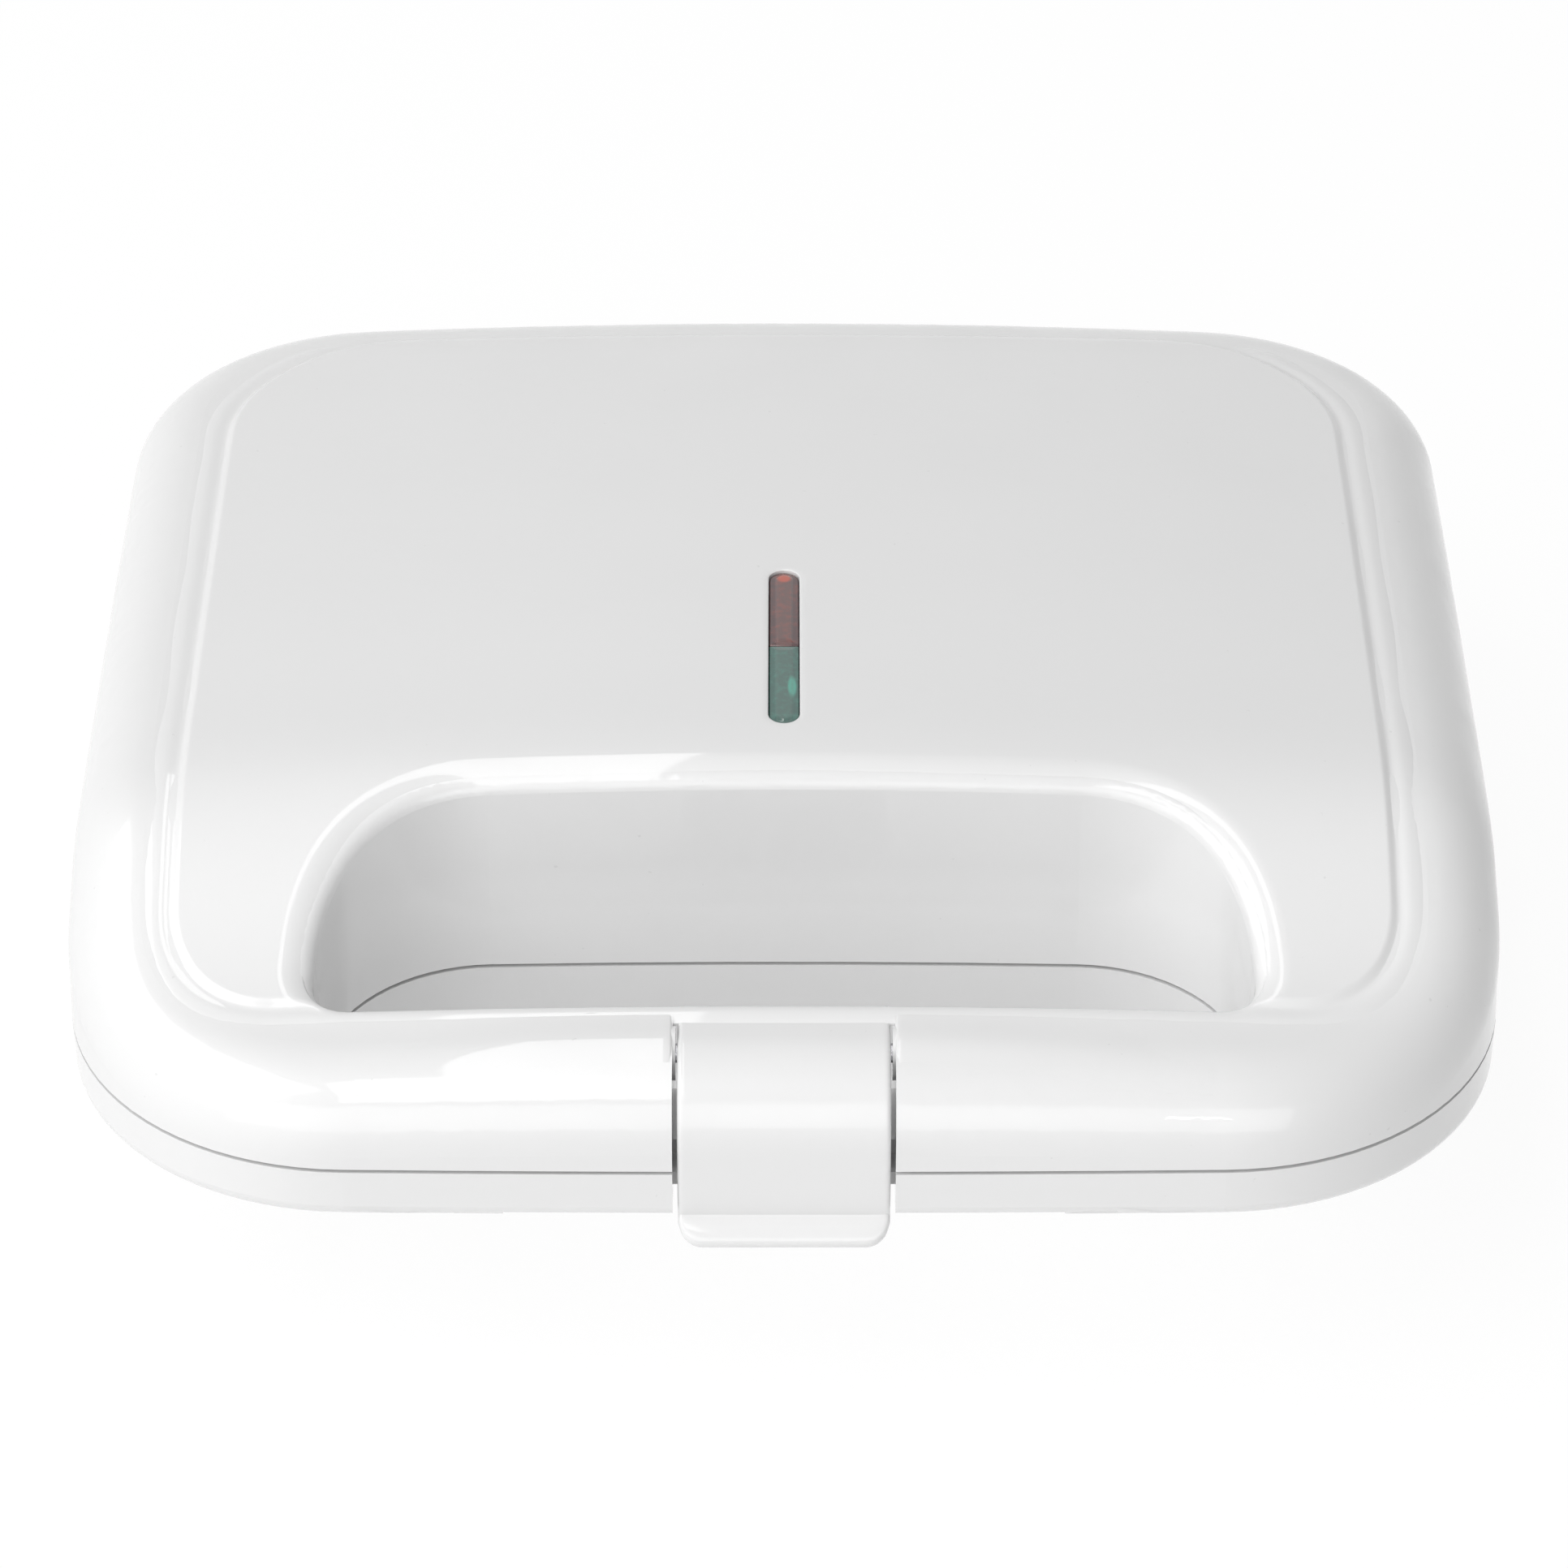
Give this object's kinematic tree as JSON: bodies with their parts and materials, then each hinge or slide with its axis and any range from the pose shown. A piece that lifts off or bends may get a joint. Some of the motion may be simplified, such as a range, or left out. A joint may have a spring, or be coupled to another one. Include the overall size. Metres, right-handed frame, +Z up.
{
  "type": "sandwich maker",
  "caption": "Countertop sandwich maker: white clamshell housings with a loop handle, hinged lid, swinging latch clip, two lit lenses and divided non-stick plates",
  "frame": {"origin": "Middle of the overall box, on the surface under the feet", "axes": "+Z up, +X to the right seen from the handle, -Y towards the handle and latch, +Y towards the hinge"},
  "size_m": [0.225, 0.2206, 0.0788],
  "materials": {
    "white_housing": "glossy moulded",
    "white_latch": "glossy moulded",
    "nonstick": "satin non-stick coating",
    "heater_steel": "dull, heat tinted",
    "shield_metal": "bright rolled",
    "screw_steel": "plated",
    "ceramic": "glazed",
    "holder_plastic": "matt moulded",
    "gland_plastic": "matt",
    "lamp_glass": "clear",
    "red_lens": "clear tinted",
    "green_lens": "clear tinted",
    "foot_rubber": "matt"
  },
  "bodies": {
    "base": {"lower_housing": "white_housing", "lower_cooking_plate": "nonstick", "lower_heating_element": "heater_steel", "lower_heat_shield": "shield_metal", "lower_plate_screws": "screw_steel", "thermostat": "ceramic", "terminal_block": "holder_plastic", "cord_gland": "gland_plastic", "hinge_pin_left": "screw_steel", "hinge_pin_right": "screw_steel", "foot_front_left": "foot_rubber", "foot_front_right": "foot_rubber", "foot_rear_left": "foot_rubber", "foot_rear_right": "foot_rubber"},
    "lid": {"upper_housing": "white_housing", "upper_cooking_plate": "nonstick", "upper_heating_element": "heater_steel", "upper_heat_shield": "shield_metal", "upper_plate_screws": "screw_steel", "thermal_fuse": "screw_steel", "lamp_holder": "holder_plastic", "power_lamp": "lamp_glass", "ready_lamp": "lamp_glass", "power_lens": "red_lens", "ready_lens": "green_lens", "latch_pin": "screw_steel"},
    "latch": {"latch_clip": "white_latch"}
  },
  "joints": [
    {"name": "lid_hinge", "type": "hinge", "parent": "base", "child": "lid", "pos_m": [0, 0.10535, 0.042], "axis": [-1, 0, 0], "range_deg": [0, 105]},
    {"name": "latch_pivot", "type": "hinge", "parent": "lid", "child": "latch", "pos_m": [0, -0.09415, 0.0544], "axis": [-1, 0, 0], "range_deg": [0, 70]}
  ]
}
